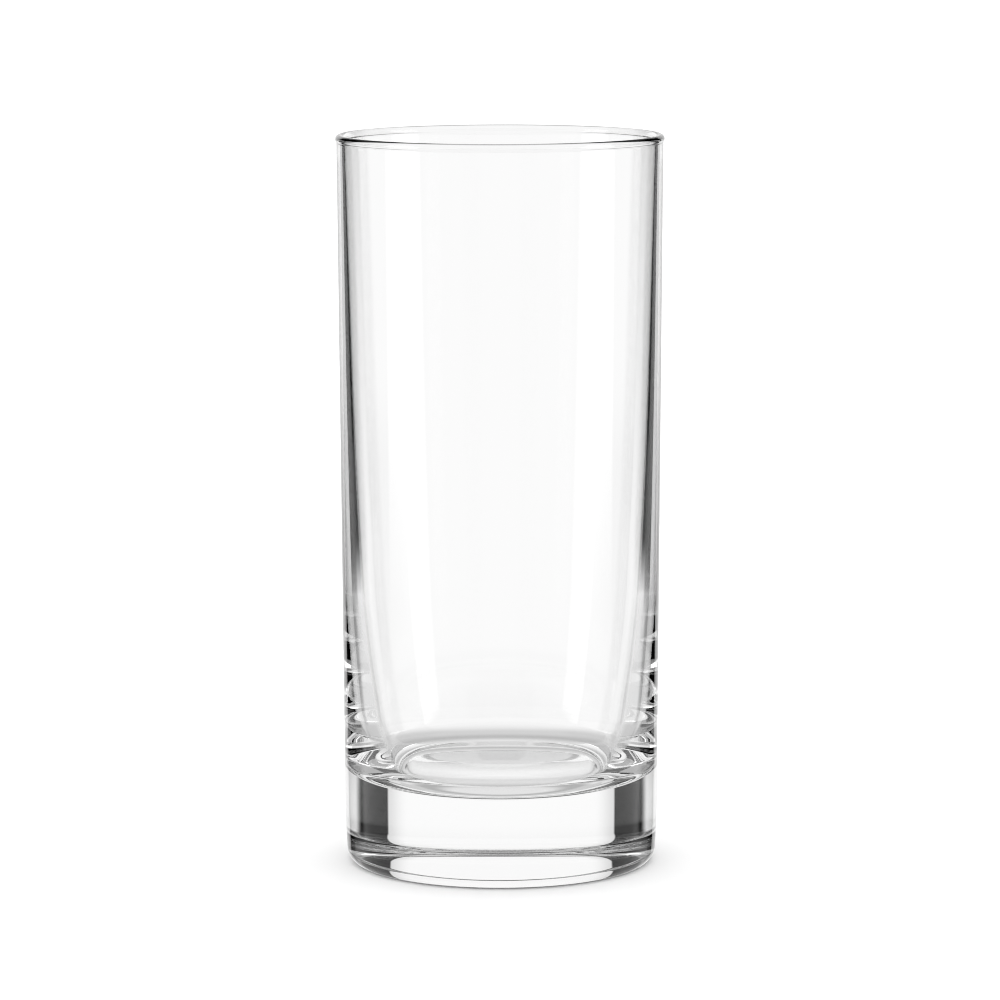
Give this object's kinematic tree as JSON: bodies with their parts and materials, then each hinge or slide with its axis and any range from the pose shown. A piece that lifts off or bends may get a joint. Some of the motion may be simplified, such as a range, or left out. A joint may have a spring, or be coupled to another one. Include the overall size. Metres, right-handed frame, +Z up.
{
  "type": "highball glass",
  "caption": "Clear straight-sided highball drinking glass with a rounded rim, a wall that thickens downwards and a heavy solid base, open at the top and standing freely on its foot.",
  "frame": {"origin": "centre of the foot, on the surface that the glass stands on", "axes": "+Z up along the axis of the glass, out of its mouth; it is round, so X and Y are any two level directions"},
  "size_m": [0.065, 0.065, 0.1455],
  "materials": {
    "clear_glass": "clear, smooth and glossy, with a melted rim"
  },
  "bodies": {
    "root": {"tumbler": "clear_glass"}
  },
  "joints": []
}
